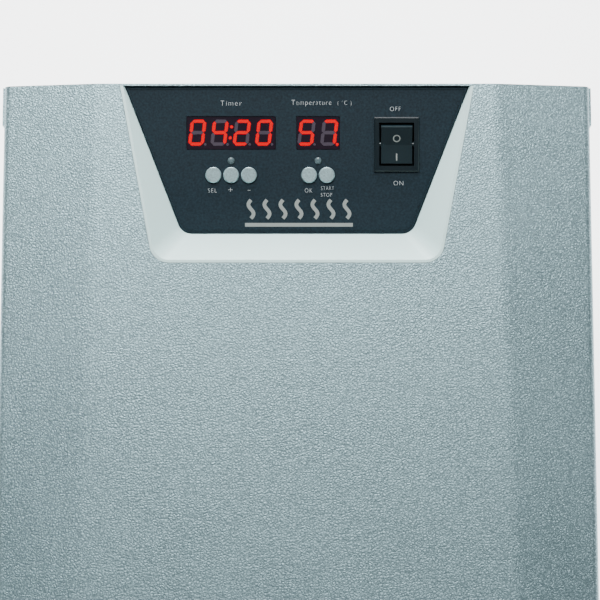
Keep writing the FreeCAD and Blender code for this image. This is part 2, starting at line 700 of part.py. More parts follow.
def heater_clips():
    """Bent straps that hold the ring off the baffle."""
    clips = []
    for angle in (90, 210, 330):
        base = box(HEATER_R - 16, HEATER_R + 16, CHAMBER_BACK + SHEET, CHAMBER_BACK + SHEET + 1.5, -5, 5)
        near = HEATER_R - HEATER_ROD - 0.3
        far = HEATER_R + HEATER_ROD + 0.3
        back = HEATER_Y + HEATER_ROD + 0.3
        cradle = box(near - 1.5, far + 1.5, CHAMBER_BACK + SHEET, back + 1.5, -5, 5)
        cradle = cradle.cut(box(near, far, CHAMBER_BACK, back, -6, 6))
        clip = fused(base, cradle)
        clip.rotate(ZERO, Y_AXIS, -angle)
        clips.append(moved(clip, z=FAN_Z))
    return group(clips)


def thermal_cutout():
    at = V(-PROBE_X, CHAMBER_BACK + SHEET, FAN_Z + PROBE_UP)
    can = Part.makeCylinder(8, 9, at, Y_AXIS)
    flange = box(at.x - 13, at.x + 13, at.y, at.y + 1, at.z - 5, at.z + 5)
    tabs = [box(at.x + x - 3, at.x + x + 3, at.y + 8, at.y + 17, at.z - 0.4, at.z + 0.4) for x in (-4.5, 4.5)]
    return fused(can, flange, *tabs)


def blade_section(radius, chord):
    """Thin arched blade section at one radius, pitched about the radial line."""
    turn = math.radians(BLADE_PITCH)
    camber = BLADE_CAMBER * chord

    def at(s, n):
        return V(s * math.cos(turn) - n * math.sin(turn), s * math.sin(turn) + n * math.cos(turn), radius)
    shares = (-0.5, -0.2, 0.15, 0.5)
    lower = [at(chord * t, camber * (1 - 4 * t * t)) for t in shares]
    upper = [at(chord * t, camber * (1 - 4 * t * t) + BLADE_T) for t in reversed(shares)]
    return Part.makePolygon(lower + upper + [lower[0]])


def fan_impeller():
    """Hub with a bevelled nose and arched blades lofted from root to tip."""
    front = V(0, FAN_Y - HUB_L / 2, 0)
    shoulder = front + V(0, HUB_BEVEL, 0)
    hub = peg(HUB_R, shoulder, V(0, FAN_Y + HUB_L / 2, 0), 36)
    nose = frustum(shoulder, front, HUB_R, HUB_R - HUB_BEVEL, 36)
    blades = []
    for i in range(FAN_BLADES):
        ends = [blade_section(HUB_R - 3, BLADE_ROOT), blade_section(FAN_R, BLADE_TIP)]
        blade = Part.makeLoft(ends, True, True)
        blade.translate(V(0, FAN_Y, 0))
        blade.rotate(ZERO, Y_AXIS, 360.0 * i / FAN_BLADES)
        blades.append(blade)
    wheel = fused(hub, nose, *blades)
    bore = Part.makeCylinder(SHAFT_R, 4 * HUB_L, V(0, FAN_Y - 2 * HUB_L, 0), Y_AXIS)
    return moved(wheel.cut(bore), z=FAN_Z)


def motor_shaft():
    return rod(SHAFT_R, V(0, FAN_Y - HUB_L / 2 - 7, FAN_Z), V(0, MOTOR_Y + MOTOR_L + 4, FAN_Z))


def fan_nut():
    front = FAN_Y - HUB_L / 2
    nut = peg(6, V(0, front - 5, 0), V(0, front, 0), 6)
    nut = nut.cut(Part.makeCylinder(SHAFT_R, 20, V(0, front - 10, 0), Y_AXIS))
    return moved(nut, z=FAN_Z)


def fan_motor():
    """Motor: laminated ring between two end bells with bevelled rims, bored for its shaft."""
    def centre(y):
        return V(0, MOTOR_Y + y, 0)
    bell = peg(MOTOR_R - 4, centre(3), centre(MOTOR_L - 3), 36)
    ends = [frustum(centre(3), centre(0), MOTOR_R - 4, MOTOR_R - 7, 36),
            frustum(centre(MOTOR_L - 3), centre(MOTOR_L), MOTOR_R - 4, MOTOR_R - 7, 36)]
    stack = peg(MOTOR_R, centre(MOTOR_L * 0.28), centre(MOTOR_L * 0.73), 36)
    boss = peg(9, centre(-2.5), centre(MOTOR_L + 2.5), 24)
    body = fused(bell, stack, boss, *ends)
    body = body.cut(Part.makeCylinder(SHAFT_R + SHAFT_GAP, 200, V(0, MOTOR_Y - 50, 0), Y_AXIS))
    return moved(body, z=FAN_Z)


def motor_bracket():
    """Bent strap: bridge in front of the motor, legs back to the rear panel, feet turned outwards."""
    y0 = MOTOR_Y - 2
    leg_x = BRACKET_FOOT_X - 12
    bridge = box(-leg_x, leg_x, y0, MOTOR_Y, -18, 18)
    parts = []
    for side in (-1, 1):
        x0, x1 = sorted((side * leg_x, side * (leg_x - 2)))
        parts.append(box(x0, x1, y0, PANEL_REAR_Y, -18, 18))
        x0, x1 = sorted((side * leg_x, side * (leg_x + 24)))
        parts.append(box(x0, x1, PANEL_REAR_Y - 2, PANEL_REAR_Y, -18, 18))
    strap = fused(bridge, *parts)
    holes = [Part.makeCylinder(9 + FIT, 20, V(0, y0 - 5, 0), Y_AXIS)]
    for x in (-BRACKET_FOOT_X, BRACKET_FOOT_X):
        holes.append(peg(REAR_SCREW_R, V(x, PANEL_REAR_Y - 10, 0), V(x, PANEL_REAR_Y + 10, 0), 6))
    return moved(strap.cut(group(holes)), z=FAN_Z)


def relay_corners():
    return [(x, y) for x in (RELAY_X0 + 4, RELAY_X1 - 4) for y in (RELAY_Y0 + 4, RELAY_Y1 - 4)]


def relay_board():
    top = RELAY_Z + BOARD_T
    board = box(RELAY_X0, RELAY_X1, RELAY_Y0, RELAY_Y1, RELAY_Z, top)
    relay = box(RELAY_X0 + 14, RELAY_X0 + 32, RELAY_Y0 + 10, RELAY_Y0 + 38, top - 0.1, top + 16)
    transformer = box(RELAY_X0 + 40, RELAY_X0 + 68, RELAY_Y0 + 12, RELAY_Y0 + 40, top - 0.1, top + 20)
    can = V(RELAY_X0 + 76, RELAY_Y0 + 34, top - 0.1)
    smoothing = peg(5, can, can + V(0, 0, 18), 16)
    terminals = box(RELAY_X0 + 14, RELAY_X0 + 50, RELAY_Y1 - 16, RELAY_Y1 - 6, top - 0.1, top + 12)
    return fused(board, relay, transformer, smoothing, terminals)


def relay_standoffs():
    return group([peg(3, V(x, y, PAN_Z + SHEET), V(x, y, RELAY_Z)) for x, y in relay_corners()])


# ---------------------------------------------------------------- door

def door_window_box(margin, y0, y1):
    left = -HALF_W + DOOR_INSET + margin
    right = HALF_W - DOOR_INSET - margin
    return rounded_upright(left, right, y0, y1, DOOR_Z0 + margin, DOOR_Z0 + DOOR_H - margin)


def rounded_upright(x0, x1, y0, y1, z0, z1, radius=12.0):
    """Panel whose corners are rounded as seen from the front."""
    block = box(x0, x1, y0, y1, z0, z1)
    return block.makeFillet(radius, [e for e in block.Edges if abs(e.tangentAt(e.FirstParameter).y) > 0.9])


def door_frame():
    """Moulded frame with a round hinge edge, a softened free edge, a window opening and its rebate."""
    right = HALF_W - DOOR_INSET
    y1 = FRONT_Y + DOOR_T
    slab = box(DOOR_PIVOT_X, right, FRONT_Y, y1, DOOR_Z0, DOOR_Z0 + DOOR_H)
    free = [e for e in slab.Edges if e.BoundBox.XMin > right - 0.01 and e.BoundBox.ZLength > 100]
    slab = slab.makeFillet(5, free)
    knuckle = Part.makeCylinder(DOOR_T / 2, DOOR_H, V(DOOR_PIVOT_X, DOOR_PIVOT_Y, DOOR_Z0))
    frame = fused(slab, knuckle)
    frame = frame.cut(door_window_box(WINDOW_MARGIN, FRONT_Y - 1, y1 + 1))
    frame = frame.cut(door_window_box(WINDOW_MARGIN - 8, y1 - WINDOW_T - 3, y1 + 1))
    frame = frame.cut(seal_ring(0.1))
    sockets = [Part.makeCylinder(PIN_R, PIN_DEPTH, V(DOOR_PIVOT_X, DOOR_PIVOT_Y, z))
               for z in (DOOR_Z0, DOOR_Z0 + DOOR_H - PIN_DEPTH)]
    pockets = [magnet_block(z, 0.1) for z in magnet_places()]
    return opened(frame.cut(group(sockets + pockets)))


def door_window():
    y1 = FRONT_Y + DOOR_T
    return opened(door_window_box(WINDOW_MARGIN - 8 + FIT, y1 - WINDOW_T - 3, y1 - 3))


def seal_ring(gap):
    y1 = FRONT_Y + DOOR_T
    outer = rounded_upright(-CHAMBER_HALF - 14 - gap, CHAMBER_HALF + 14 + gap, y1 - 2, y1 + 1.1,
                            DOOR_Z0 + 6 - gap, DOOR_Z0 + DOOR_H - 6 + gap)
    inner = rounded_upright(-CHAMBER_HALF - 9 + gap, CHAMBER_HALF + 9 - gap, y1 - 3, y1 + 3,
                            DOOR_Z0 + 11 + gap, DOOR_Z0 + DOOR_H - 11 - gap, 8.0)
    return outer.cut(inner)


def door_seal():
    return opened(seal_ring(0))


def handle_x():
    return HALF_W - DOOR_INSET - 17


def handle_ends():
    middle = DOOR_Z0 + DOOR_H / 2
    return middle - HANDLE_L / 2, middle + HANDLE_L / 2


def door_handle():
    """Bow handle: flat bar with bevelled edges and legs that turn into the door in smooth bends."""
    z0, z1 = handle_ends()
    x = handle_x()
    bend = 12.0
    y_out = FRONT_Y - HANDLE_OUT + 5
    turn = bend * (1 - math.sqrt(0.5))
    line = Part.Wire([
        Part.makeLine(V(x, FRONT_Y, z0), V(x, y_out + bend, z0)),
        Part.Arc(V(x, y_out + bend, z0), V(x, y_out + turn, z0 + turn), V(x, y_out, z0 + bend)).toShape(),
        Part.makeLine(V(x, y_out, z0 + bend), V(x, y_out, z1 - bend)),
        Part.Arc(V(x, y_out, z1 - bend), V(x, y_out + turn, z1 - turn), V(x, y_out + bend, z1)).toShape(),
        Part.makeLine(V(x, y_out + bend, z1), V(x, FRONT_Y, z1))])
    corners = [V(x + 7 * a, FRONT_Y, z0 + 5 * b) for a, b in HANDLE_SECTION]
    section = Part.makePolygon(corners + [corners[0]])
    return opened(line.makePipeShell([section], True, False))


def magnet_places():
    return [DOOR_Z0 + 60, DOOR_Z0 + DOOR_H - 60]


def magnet_block(z, gap):
    x = CHAMBER_HALF + 4
    y1 = FRONT_Y + DOOR_T
    return box(x - 3 - gap, x + 3 + gap, y1 - 5 - gap, y1 + gap, z - 12 - gap, z + 12 + gap)


def door_magnets():
    return opened(group([magnet_block(z, 0) for z in magnet_places()]))


def catch_plates():
    x = CHAMBER_HALF + 4
    return group([box(x - 3, x + 3, FRAME_Y - 0.8, FRAME_Y, z - 13, z + 13) for z in magnet_places()])


def bracket_heights():
    return [DOOR_Z0 - 0.8 - BRACKET_T, DOOR_Z0 + DOOR_H + 0.8]


def hinge_brackets():
    """Two angle brackets: an ear that takes the pin, and a leaf screwed to the front frame."""
    made = []
    for z, side in zip(bracket_heights(), (-1, 1)):
        ear = box(DOOR_PIVOT_X - 7, DOOR_PIVOT_X + 14, DOOR_PIVOT_Y, FRAME_Y, z, z + BRACKET_T)
        nose = peg(7, V(DOOR_PIVOT_X, DOOR_PIVOT_Y, z), V(DOOR_PIVOT_X, DOOR_PIVOT_Y, z + BRACKET_T), 20)
        z0, z1 = (z - 9, z + BRACKET_T) if side < 0 else (z, z + BRACKET_T + 9)
        leaf = box(DOOR_PIVOT_X - 7, DOOR_PIVOT_X + 34, FRAME_Y - BRACKET_T / 2, FRAME_Y, z0, z1)
        hole = Part.makeCylinder(PIN_R + HINGE_GAP, 40, V(DOOR_PIVOT_X, DOOR_PIVOT_Y, z - 20))
        made.append(fused(ear, nose, leaf).cut(hole).cut(hinge_screw_holes()))
    return group(made)


def hinge_pins():
    low, high = bracket_heights()
    x, y = DOOR_PIVOT_X, DOOR_PIVOT_Y
    pins = [rod(PIN_R, V(x, y, low - 0.3), V(x, y, DOOR_Z0 + PIN_DEPTH)),
            rod(PIN_R, V(x, y, DOOR_Z0 + DOOR_H - PIN_DEPTH), V(x, y, high + BRACKET_T + 0.3))]
    return group(pins)


def hinge_screw_places():
    places = []
    for z, side in zip(bracket_heights(), (-1, 1)):
        row = z - 4.5 if side < 0 else z + BRACKET_T + 4.5
        places += [(DOOR_PIVOT_X + 6, row), (DOOR_PIVOT_X + 26, row)]
    return places


def hinge_screw_holes():
    return group([peg(HINGE_SCREW_R * 0.45, V(x, FRAME_Y - 5, z), V(x, FRAME_Y + 5, z), 6)
                  for x, z in hinge_screw_places()])


def hinge_screws():
    return group([screw(HINGE_SCREW_R, 1.6, BRACKET_T / 2, V(x, FRAME_Y - BRACKET_T / 2, z), Y_AXIS)
                  for x, z in hinge_screw_places()])


def build_all():
    nodes = {
        "hood": hood(), "panel_surround": panel_surround(), "control_panel": control_panel(),
        "timer_display": display(TIMER_AT, TIMER_W, 4),
        "temperature_display": display(TEMPERATURE_AT, TEMPERATURE_W, 2),
        "indicator_lamps": indicator_lamps(), "tact_switches": tact_switches(),
        "switch_housing": switch_housing(), "power_rocker": power_rocker(),
        "control_board": control_board(), "board_posts": board_posts(), "board_screws": board_screws(),
        "rear_panel": rear_panel(), "rear_panel_screws": rear_panel_screws(), "cord_gland": cord_gland(),
        "base_pan": base_pan(), "feet": feet(), "base_screws": base_screws(), "front_frame": front_frame(),
        "chamber_liner": chamber_liner(), "fan_baffle": fan_baffle(),
        "temperature_probe": temperature_probe(), "heater_element": heater_element(),
        "heater_clips": heater_clips(), "thermal_cutout": thermal_cutout(),
        "fan_impeller": fan_impeller(), "motor_shaft": motor_shaft(), "fan_nut": fan_nut(),
        "fan_motor": fan_motor(), "motor_bracket": motor_bracket(), "relay_board": relay_board(),
        "relay_standoffs": relay_standoffs(), "door_frame": door_frame(), "door_window": door_window(),
        "door_seal": door_seal(), "door_handle": door_handle(), "door_magnets": door_magnets(),
        "catch_plates": catch_plates(), "hinge_brackets": hinge_brackets(), "hinge_pins": hinge_pins(),
        "hinge_screws": hinge_screws(),
    }
    for name, x in BUTTONS.items():
        nodes[name] = button(x)
    for name, level in SHELF_LEVELS.items():
        nodes[name] = shelf(level)
    return nodes


os.makedirs("parts", exist_ok=True)
for node, shape in build_all().items():
    if not shape.isValid() or not shape.Solids:
        print("check", node, shape.isValid(), len(shape.Solids))
    shape.exportStep("parts/" + node + ".step")
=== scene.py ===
"""Looks of the countertop box dryer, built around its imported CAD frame. Lengths are in metres."""
import json
import math
import bmesh
import bpy
from mathutils import Matrix, Vector


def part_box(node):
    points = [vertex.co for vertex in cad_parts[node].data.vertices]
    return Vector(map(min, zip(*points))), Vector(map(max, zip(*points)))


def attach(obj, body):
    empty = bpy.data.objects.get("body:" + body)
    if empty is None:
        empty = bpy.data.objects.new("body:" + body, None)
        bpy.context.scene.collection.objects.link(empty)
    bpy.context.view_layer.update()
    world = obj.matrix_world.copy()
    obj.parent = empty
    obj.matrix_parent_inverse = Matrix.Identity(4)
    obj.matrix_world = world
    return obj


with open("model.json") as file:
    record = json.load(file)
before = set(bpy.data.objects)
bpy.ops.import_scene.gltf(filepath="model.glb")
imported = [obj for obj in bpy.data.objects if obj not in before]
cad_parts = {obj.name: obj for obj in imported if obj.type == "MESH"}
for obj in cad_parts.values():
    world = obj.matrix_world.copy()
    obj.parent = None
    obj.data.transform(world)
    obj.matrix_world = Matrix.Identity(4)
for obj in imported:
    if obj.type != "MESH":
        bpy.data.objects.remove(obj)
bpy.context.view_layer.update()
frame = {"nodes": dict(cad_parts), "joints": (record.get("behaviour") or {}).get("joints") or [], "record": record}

MM = 0.001
nodes = frame["nodes"]
joints = {joint["name"]: joint for joint in frame["joints"]}

# The control panel's own frame: x right, y to the back along the slope, z out of the panel.
# Its origin is the panel's rear edge, a small step below the hood's top.
PRESS = Vector(joints["select_press"]["axis"])
PANEL_TILT = math.atan2(PRESS.y, -PRESS.z)
PANEL_STEP = 1.2 * MM
panel_origin = Vector((0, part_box("panel_surround")[1].y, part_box("hood")[1].z - PANEL_STEP))
PANEL = Matrix.Translation(panel_origin) @ Matrix.Rotation(PANEL_TILT, 4, "X")
PANEL_BACK = PANEL.inverted()


def on_panel_at(node):
    """Centre of a CAD node in the panel's frame."""
    low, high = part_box(node)
    return PANEL_BACK @ ((low + high) / 2)


# ---------------------------------------------------------------- materials

NOISE_SPAN = (0.3, 0.7)          # where most of a noise texture's values lie
NOISE_ROUGHNESS = 0.55
ROUGHNESS_SPREAD = 0.12          # share by which a surface's roughness varies

# Leathery grain. The first three are sizes in grains, and the two shares weigh its height.
CREASE_CELL = 1.9
WARP_CELL = 2.2
WARP_REACH = 1.6
CREASE_FLANK = 0.35              # share of a cell
CREASE_SHARE = 0.45
BUMP_SHARE = 0.55


def shader(name):
    material = bpy.data.materials.new(name)
    material.use_nodes = True
    tree = material.node_tree
    return material, tree, tree.nodes["Principled BSDF"]


def scale_of(size):
    """Scale of a texture whose features are about this many millimetres across."""
    return 1000.0 / size


def noise(tree, scale, detail=3.0, stretch=(1, 1, 1)):
    place = tree.nodes.new("ShaderNodeTexCoord")
    mapping = tree.nodes.new("ShaderNodeMapping")
    mapping.inputs["Scale"].default_value = stretch
    texture = tree.nodes.new("ShaderNodeTexNoise")
    texture.inputs["Scale"].default_value = scale
    texture.inputs["Detail"].default_value = detail
    texture.inputs["Roughness"].default_value = NOISE_ROUGHNESS
    tree.links.new(place.outputs["Object"], mapping.inputs["Vector"])
    tree.links.new(mapping.outputs["Vector"], texture.inputs["Vector"])
    return texture.outputs["Fac"]


def mapped(tree, value, low, high, source=NOISE_SPAN):
    node = tree.nodes.new("ShaderNodeMapRange")
    node.inputs["From Min"].default_value, node.inputs["From Max"].default_value = source
    node.inputs["To Min"].default_value = low
    node.inputs["To Max"].default_value = high
    tree.links.new(value, node.inputs["Value"])
    return node.outputs["Result"]


def toned(tree, value, colour, spread):
    """Colour that varies by a share of itself with the value."""
    ramp = tree.nodes.new("ShaderNodeValToRGB")
    dark, light = ramp.color_ramp.elements
    dark.position, light.position = NOISE_SPAN
    dark.color = [c * (1 - spread) for c in colour] + [1]
    light.color = [min(1, c * (1 + spread)) for c in colour] + [1]
    tree.links.new(value, ramp.inputs["Fac"])
    return ramp.outputs["Color"]


def creased(tree, grain):
    """Fine leathery grain: soft bumps cut by a net of creases."""
    place = tree.nodes.new("ShaderNodeTexCoord")
    cells = tree.nodes.new("ShaderNodeTexVoronoi")
    cells.feature = "DISTANCE_TO_EDGE"
    cells.inputs["Scale"].default_value = scale_of(CREASE_CELL * grain)
    warp = tree.nodes.new("ShaderNodeVectorMath")
    warp.operation = "MULTIPLY_ADD"
    warp.inputs[1].default_value = (WARP_REACH * grain * MM,) * 3
    bend = tree.nodes.new("ShaderNodeTexNoise")
    bend.inputs["Scale"].default_value = scale_of(WARP_CELL * grain)
    tree.links.new(place.outputs["Object"], bend.inputs["Vector"])
    tree.links.new(bend.outputs["Color"], warp.inputs[0])
    tree.links.new(place.outputs["Object"], warp.inputs[2])
    tree.links.new(warp.outputs["Vector"], cells.inputs["Vector"])
    ridge = mapped(tree, cells.outputs["Distance"], 0.0, 1.0, source=(0.0, CREASE_FLANK))
    bumps = mapped(tree, noise(tree, scale_of(grain), detail=4.0), 0.0, BUMP_SHARE)
    both = tree.nodes.new("ShaderNodeMath")
    both.operation = "MULTIPLY_ADD"
    both.inputs[1].default_value = CREASE_SHARE
    tree.links.new(ridge, both.inputs[0])
    tree.links.new(bumps, both.inputs[2])
    return both.outputs["Value"]


def surface(name, colour, rough, metal=0.0, grain=0.6, relief=0.1, depth=0.02, spread=0.06,
            stretch=(1, 1, 1), mottle=30.0, coat=0.0, specular=0.5, leather=False):
    """Painted, moulded or metal surface.

    grain and mottle are the sizes of its fine and broad textures, and depth that of its bumps, all in
    millimetres. spread is the share by which its colour varies.
    """
    material, tree, bsdf = shader(name)
    fine = creased(tree, grain) if leather else noise(tree, scale_of(grain), stretch=stretch)
    broad = noise(tree, scale_of(mottle), detail=2.0)
    smoothest = rough * (1 - ROUGHNESS_SPREAD)
    roughest = min(1.0, rough * (1 + ROUGHNESS_SPREAD))
    tree.links.new(toned(tree, fine, colour, spread), bsdf.inputs["Base Color"])
    tree.links.new(mapped(tree, broad, smoothest, roughest), bsdf.inputs["Roughness"])
    bump = tree.nodes.new("ShaderNodeBump")
    bump.inputs["Strength"].default_value = relief
    bump.inputs["Distance"].default_value = depth * MM
    tree.links.new(fine, bump.inputs["Height"])
    tree.links.new(bump.outputs["Normal"], bsdf.inputs["Normal"])
    bsdf.inputs["Metallic"].default_value = metal
    bsdf.inputs["Coat Weight"].default_value = coat
    bsdf.inputs["Specular IOR Level"].default_value = specular
    return material


def glowing(name, colour, strength):
    material, tree, bsdf = shader(name)
    tree.links.new(toned(tree, noise(tree, 900.0), colour, 0.05), bsdf.inputs["Base Color"])
    bsdf.inputs["Emission Color"].default_value = (*colour, 1)
    bsdf.inputs["Emission Strength"].default_value = strength
    bsdf.inputs["Roughness"].default_value = 0.6
    bsdf.inputs["Specular IOR Level"].default_value = 0.0
    return material


def smoked_glass(name, colour):
    material, tree, bsdf = shader(name)
    tree.links.new(toned(tree, noise(tree, 12.0), colour, 0.04), bsdf.inputs["Base Color"])
    tree.links.new(mapped(tree, noise(tree, 40.0), 0.03, 0.08), bsdf.inputs["Roughness"])
    bsdf.inputs["Transmission Weight"].default_value = 0.9
    bsdf.inputs["IOR"].default_value = 1.3
    return material


SILVER = surface("silver_grain_paint", (0.295, 0.440, 0.480), rough=0.42, metal=0.7, grain=0.85, relief=1.0,
                 depth=0.20, spread=0.32, mottle=60, leather=True)
SURROUND = surface("pale_smooth_plastic", (0.68, 0.95, 0.94), rough=0.38, grain=0.5, relief=0.06,
                   spread=0.015)
FASCIA = surface("blue_black_film", (0.0085, 0.021, 0.030), rough=0.55, grain=1.2, relief=0.3,
                 depth=0.03, spread=0.35, specular=0.22)
GLOSS_BLACK = surface("black_gloss_plastic", (0.005, 0.012, 0.016), rough=0.32, grain=0.4, relief=0.06,
                      spread=0.2, specular=0.35)
ROCKER = surface("rocker_plastic", (0.0055, 0.017, 0.022), rough=0.30, grain=0.4, relief=0.05,
                 spread=0.12)
BLACK = surface("black_moulded_plastic", (0.020, 0.023, 0.026), rough=0.48, grain=0.8, relief=0.35,
                depth=0.05, spread=0.2)
BUTTON = surface("silver_button_plastic", (0.40, 0.56, 0.59), rough=0.36, metal=0.5, grain=0.8,
                 relief=0.5, depth=0.05, spread=0.22)
LENS = surface("display_filter", (0.012, 0.006, 0.014), rough=0.22, grain=0.5, relief=0.03, spread=0.2)
LAMP = surface("grey_lamp_lens", (0.10, 0.15, 0.165), rough=0.25, grain=0.5, relief=0.05, spread=0.15,
               coat=0.4)
STEEL = surface("stainless_sheet", (0.56, 0.57, 0.58), rough=0.34, metal=1.0, grain=0.5, relief=0.12,
                spread=0.08, stretch=(1, 0.03, 1))
GALVANISED = surface("galvanised_sheet", (0.50, 0.53, 0.55), rough=0.42, metal=0.9, grain=9.0,
                     relief=0.05, spread=0.16)
SCREW = surface("zinc_screw", (0.50, 0.51, 0.53), rough=0.30, metal=1.0, grain=0.4, relief=0.2,
                spread=0.10)
CHROME = surface("chromed_wire", (0.72, 0.74, 0.76), rough=0.14, metal=1.0, grain=0.8, relief=0.05,
                 spread=0.05)
HEATED = surface("heat_tinted_steel", (0.22, 0.17, 0.13), rough=0.38, metal=0.9, grain=3.0,
                 relief=0.12, spread=0.35)
ALUMINIUM = surface("cast_aluminium", (0.66, 0.68, 0.70), rough=0.36, metal=1.0, grain=0.7, relief=0.2,
                    spread=0.07)
SATIN = surface("satin_anodised", (0.58, 0.61, 0.63), rough=0.30, metal=1.0, grain=0.35, relief=0.15,
                spread=0.07, stretch=(1, 1, 0.05))
MOTOR = surface("motor_casting", (0.17, 0.18, 0.19), rough=0.5, metal=0.7, grain=1.2, relief=0.4,
                depth=0.08, spread=0.2)
BOARD = surface("circuit_board", (0.02, 0.13, 0.06), rough=0.34, grain=1.0, relief=0.15, spread=0.25)
NYLON = surface("natural_nylon", (0.62, 0.61, 0.54), rough=0.5, grain=0.8, spread=0.05)
RUBBER = surface("black_rubber", (0.018, 0.018, 0.019), rough=0.75, grain=0.7, relief=0.5, depth=0.08,
                 spread=0.25)
SILICONE = surface("grey_silicone", (0.25, 0.26, 0.26), rough=0.6, grain=0.9, relief=0.25, spread=0.08)
FERRITE = surface("ferrite", (0.06, 0.06, 0.065), rough=0.6, metal=0.2, grain=0.8, relief=0.3, spread=0.2)
INK = surface("printed_ink", (0.62, 0.68, 0.70), rough=0.5, grain=0.4, relief=0.08)
LIT = glowing("lit_segment", (0.70, 0.0, 0.004), strength=0.32)
MARK = surface("grey_print", (0.30, 0.335, 0.32), rough=0.5, grain=0.4, relief=0.08)
UNLIT = surface("unlit_segment", (0.055, 0.042, 0.062), rough=0.35, grain=0.5, relief=0.03, spread=0.1)
GLASS = smoked_glass("smoked_window", (0.30, 0.32, 0.33))

LOOKS = {
    "silver_paint": SILVER, "surround_plastic": SURROUND, "panel_black": FASCIA, "display_red": LENS,
    "lamp_lens": LAMP, "button_silver": BUTTON, "switch_black": GLOSS_BLACK, "board_green": BOARD,
    "nylon": NYLON, "screw_steel": SCREW, "galvanised": GALVANISED, "rubber_black": RUBBER,
    "seal_silicone": SILICONE, "frame_black": BLACK, "liner_steel": STEEL, "heater_steel": HEATED,
    "motor_steel": MOTOR, "fan_aluminium": ALUMINIUM, "window_smoke": GLASS, "handle_satin": SATIN,
    "magnet_grey": FERRITE, "wire_chrome": CHROME,
}


# ---------------------------------------------------------------- the CAD nodes' looks

ROCKER_EDGE = 0.35 * MM
ROCKER_EDGE_ANGLE = math.radians(15)


def dress_nodes():
    for part in frame["record"]["subparts"]:
        mesh = nodes[part["node"]].data
        mesh.materials.clear()
        mesh.materials.append(LOOKS[part["material_slot"]])


def dress_rocker():
    """The rocker's own plastic, with moulded edges that catch the light."""
    rocker = nodes["power_rocker"]
    rocker.data.materials[0] = ROCKER
    soft = rocker.modifiers.new("soft_edges", "BEVEL")
    soft.width = ROCKER_EDGE
    soft.segments = 3
    soft.angle_limit = ROCKER_EDGE_ANGLE


dress_nodes()
dress_rocker()


# ---------------------------------------------------------------- making of pieces

def piece(name, mesh, material, body):
    made = bpy.data.objects.new(name, mesh)
    bpy.context.scene.collection.objects.link(made)
    mesh.materials.clear()
    mesh.materials.append(material)
    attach(made, body)
    return made


def raised(outlines, thickness, place):
    """Mesh of flat outlines given a thickness, placed by a matrix. Each outline is a list of (x, y)."""
    mesh = bpy.data.meshes.new("raised")
    work = bmesh.new()
    for outline in outlines:
        top = [work.verts.new(place @ Vector((x, y, thickness))) for x, y in outline]
        foot = [work.verts.new(place @ Vector((x, y, 0))) for x, y in outline]
        work.faces.new(top)
        work.faces.new(list(reversed(foot)))
        for i in range(len(top)):
            j = (i + 1) % len(top)
            work.faces.new((foot[i], foot[j], top[j], top[i]))
    bmesh.ops.recalc_face_normals(work, faces=work.faces)
    work.to_mesh(mesh)
    work.free()
    return mesh


def disc(x, y, radius, steps=20):
    turn = 2 * math.pi / steps
    return [(x + radius * math.cos(turn * i), y + radius * math.sin(turn * i)) for i in range(steps)]


def stroke(points, width):
    """Outline of a line of constant width through the points."""
    left, right = [], []
    for i, (x, y) in enumerate(points):
        before = Vector(points[max(i - 1, 0)])
        after = Vector(points[min(i + 1, len(points) - 1)])
        side = (after - before).normalized().orthogonal() * width / 2
        left.append((x + side.x, y + side.y))
        right.append((x - side.x, y - side.y))
    return left + right[::-1]


# ---------------------------------------------------------------- displays

INK_T = 0.06 * MM                # of all print, and of the segments
DISPLAY_ROW = 26.9 * MM          # down the panel from its rear edge
FILTER_LENGTH = 18.4 * MM
FILTER_PLAY = 0.1 * MM
FILTER_T = 0.1 * MM
FILTER_TOP = -0.30 * MM

SEGMENTS = {"0": "abcdef", "4": "bcfg", "2": "abdeg", "5": "acdfg", "7": "abc"}
SEGMENT_T = 1.95 * MM
SEGMENT_GAP = 0.05 * MM
DIGIT_HALF_W = 3.6 * MM
DIGIT_HALF_H = 6.55 * MM
DIGIT_LEAN = 0.115
DIGIT_RISE = 0.3 * MM
POINT_R = 0.95 * MM
POINT_RISE = 0.1 * MM
UNLIT_POINT_R = 0.8 * POINT_R
COLON_HEIGHTS = (3.65 * MM, -2.7 * MM)
COLON_SHIFT = -0.2 * MM


def segment_outlines(x, y):
    """The seven bars of one leaning digit, by letter."""
    w, h, half = DIGIT_HALF_W, DIGIT_HALF_H, SEGMENT_T / 2
    ends = {"a": ((-w, h), (w, h)), "b": ((w, h), (w, 0)), "c": ((w, 0), (w, -h)),
            "d": ((-w, -h), (w, -h)), "e": ((-w, 0), (-w, -h)), "f": ((-w, h), (-w, 0)),
            "g": ((-w, 0), (w, 0))}
    made = {}
    for letter, (a, b) in ends.items():
        a, b = Vector(a), Vector(b)
        along = (b - a).normalized()
        side = along.orthogonal() * half
        a += along * SEGMENT_GAP
        b -= along * SEGMENT_GAP
        outline = [a, a + along * half + side, b - along * half + side,
                   b, b - along * half - side, a + along * half - side]
        made[letter] = [(x + p.x + DIGIT_LEAN * p.y, y + p.y) for p in outline]
    return made


